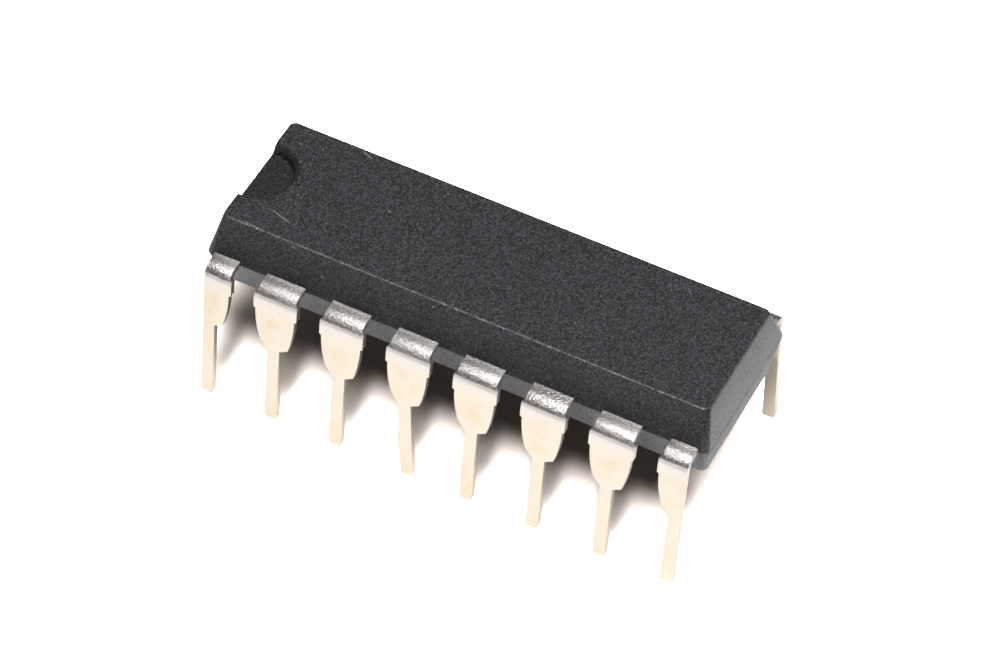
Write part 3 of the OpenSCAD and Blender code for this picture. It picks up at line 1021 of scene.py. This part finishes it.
def pale_floor(s, pitch):
    """White paper. The camera, the mirroring metal and all other rays each see a tone of their own."""
    material = bpy.data.materials.new("Pale floor")
    t = bare_tree(material)
    by_camera = t.node("ShaderNodeLightPath", out="Is Camera Ray")
    mirrored = t.also(by_camera, "Is Glossy Ray").most(t.also(by_camera, "Is Transmission Ray"))
    x, y = t.parts(t.node("ShaderNodeTexCoord", out="Object"))[:2]
    away = (x * x + y * y).root()
    shade = floor_shade(x, y, pitch)
    sheet = t.mix(away.rise(*MIRRORED_FADE), MIRRORED_PAPER, MIRRORED_BEYOND)
    sheet = t.mix(shade * MIRRORED_SHARE, sheet, MIRRORED_SHADE)
    seen = t.mix(shade, SEEN_PAPER, SEEN_SHADE)
    shown = t.mix(mirrored, t.mix(by_camera, s.floor_tone, seen), sheet)
    paper = t.node("ShaderNodeBsdfDiffuse", None, {"Color": shown})
    white = t.node("ShaderNodeEmission", None, {"Strength": 1.0})
    faded = t.node("ShaderNodeMixShader", None, {0: away.rise(*FLOOR_FADE) * by_camera, 1: paper, 2: white})
    t.node("ShaderNodeOutputMaterial", None, {"Surface": faded})
    return material


def room_light(s):
    """A world that lights evenly, more from above, and that the camera sees as plain white."""
    world = bpy.data.worlds.new("Room")
    t = bare_tree(world)
    by_camera = t.node("ShaderNodeLightPath", out="Is Camera Ray")
    height = t.parts(t.node("ShaderNodeTexCoord", out="Generated"))[2]
    level = height.rise(*ROOM_RISE) * (s.room - s.horizon) + s.horizon
    even = t.node("ShaderNodeBackground", None, {"Color": (1, 1, 1, 1), "Strength": level})
    white = t.node("ShaderNodeBackground", None, {"Color": (1, 1, 1, 1), "Strength": 1.0})
    shown = t.node("ShaderNodeMixShader", None, {0: by_camera, 1: even, 2: white})
    t.node("ShaderNodeOutputWorld", None, {"Surface": shown})
    return world


# Operators


class CHIP_OT_body(bpy.types.Operator):
    """Build the moulded body in place of its CAD solid"""

    bl_idname = "chip.body"
    bl_label = "Moulded body"

    def execute(self, context):
        s = context.scene.chip_body
        draft = MouldShape(s).draft("moulded_body")
        round_edges(draft, "Moulded edges", s.edge_radius, limit_method="WEIGHT")
        even_normals(draft)
        new_piece("moulded_body", settled(draft), mould_compound(s), "body")
        return {"FINISHED"}


class CHIP_OT_leads(bpy.types.Operator):
    """Bend the sixteen leads from flat blanks in place of their CAD solids"""

    bl_idname = "chip.leads"
    bl_label = "Outer leads"

    def execute(self, context):
        s = context.scene.chip_leads
        shape = LeadShape(s)
        tin = tinned(s)
        tree = bend_tree(shape, tin)
        for number in range(1, LEAD_COUNT + 1):
            in_front = number <= ROW_COUNT
            place = number if in_front else LEAD_COUNT + 1 - number
            side = -1.0 if in_front else 1.0
            name = f"tinned_lead_{number}"
            draft = shape.blank(name, place, s.bent_tip if number == BENT_LEAD else 0.0)
            limit = {"limit_method": "ANGLE", "angle_limit": STAMPED_FROM}
            round_edges(draft, "Stamped edges", s.edge_radius, **limit)
            bend = draft.modifiers.new("Bend", "NODES")
            bend.node_group = tree
            set_input(bend, "Row side", side)
            even_normals(draft)
            new_piece(name, settled(draft), tin, f"lead_{number}")
        return {"FINISHED"}


class CHIP_OT_inside(bpy.types.Operator):
    """Give the pieces inside the moulding their finishes"""

    bl_idname = "chip.inside"
    bl_label = "Inner pieces"

    def execute(self, context):
        finishes = {"die_paddle": stamped_alloy(), "die_attach": silver_paste(), "die": silicon_die()}
        gold = gold_wire()
        finishes.update({f"bond_wire_{k}": gold for k in range(1, LEAD_COUNT + 1)})
        for name, material in finishes.items():
            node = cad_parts[name]
            if not node.material_slots:
                node.data.materials.append(None)
            for slot in node.material_slots:
                slot.material = material
        return {"FINISHED"}


class CHIP_OT_stage(bpy.types.Operator):
    """Set up the floor, the lamp, the room light and the camera"""

    bl_idname = "chip.stage"
    bl_label = "Stage"

    def execute(self, context):
        s = context.scene.chip_stage
        self.floor(context, s)
        self.light(context, s)
        self.camera(context, s)
        context.scene.view_settings.view_transform = "Standard"
        return {"FINISHED"}

    def floor(self, context, s):
        near, far = -FLOOR_HALF, FLOOR_HALF
        corners = [(near, near, 0), (far, near, 0), (far, far, 0), (near, far, 0)]
        mesh = bpy.data.meshes.new("floor")
        mesh.from_pydata(corners, [], [(0, 1, 2, 3)])
        mesh.materials.append(pale_floor(s, context.scene.chip_leads.pitch))
        floor = add_object("floor", mesh)

    def light(self, context, s):
        context.scene.world = room_light(s)
        key = bpy.data.lights.new("key", "AREA")
        key.shape = "RECTANGLE"
        key.size = KEY_SIZE
        key.size_y = KEY_SIZE
        key.energy = s.key_power
        lamp = add_object("key", key)
        lamp.location = KEY_PLACE
        lamp.rotation_euler = (KEY_AIM - KEY_PLACE).to_track_quat("-Z", "Y").to_euler()

    def camera(self, context, s):
        a, e = s.azimuth, s.elevation
        back = Vector((math.sin(a) * math.cos(e), -math.cos(a) * math.cos(e), math.sin(e)))
        level = Vector((math.cos(a), math.sin(a), 0))
        upright = back.cross(level)
        right = level * math.cos(s.roll) + upright * math.sin(s.roll)
        up = upright * math.cos(s.roll) - level * math.sin(s.roll)
        data = bpy.data.cameras.new("camera")
        data.sensor_fit = "HORIZONTAL"
        data.sensor_width = SENSOR_WIDTH
        data.lens = s.lens
        data.clip_start, data.clip_end = CLIP_RANGE
        straight = Vector((0, 0, PARTING_Z)) + back * s.distance
        place = straight + right * CAMERA_RIGHT * MM - up * CAMERA_DOWN * MM
        camera = add_object("camera", data)
        camera.matrix_world = Matrix.Translation(place) @ Matrix((right, up, back)).transposed().to_4x4()
        context.scene.camera = camera


class CHIP_PT_panel(bpy.types.Panel):
    """Lists the chip's settings and the steps that build it."""

    bl_idname = "CHIP_PT_panel"
    bl_label = "Dual in-line chip"
    bl_space_type = "VIEW_3D"
    bl_region_type = "UI"
    bl_category = "Chip"

    def draw(self, context):
        scene = context.scene
        for operator, group in (
            (CHIP_OT_body, scene.chip_body),
            (CHIP_OT_leads, scene.chip_leads),
            (CHIP_OT_inside, None),
            (CHIP_OT_stage, scene.chip_stage),
        ):
            box = self.layout.box()
            if group:
                for name in group.__annotations__:
                    box.prop(group, name)
            box.operator(operator.bl_idname)


CLASSES = (
    ChipBodySettings,
    ChipLeadSettings,
    ChipStageSettings,
    CHIP_OT_body,
    CHIP_OT_leads,
    CHIP_OT_inside,
    CHIP_OT_stage,
    CHIP_PT_panel,
)
GROUPS = {"chip_body": ChipBodySettings, "chip_leads": ChipLeadSettings, "chip_stage": ChipStageSettings}


def register():
    for cls in CLASSES:
        bpy.utils.register_class(cls)
    for name, group in GROUPS.items():
        setattr(bpy.types.Scene, name, bpy.props.PointerProperty(type=group))


def unregister():
    for name in GROUPS:
        delattr(bpy.types.Scene, name)
    for cls in reversed(CLASSES):
        bpy.utils.unregister_class(cls)


def main():
    register()
    bpy.ops.chip.body()
    bpy.ops.chip.leads()
    bpy.ops.chip.inside()
    bpy.ops.chip.stage()


if __name__ == "__main__":
    main()
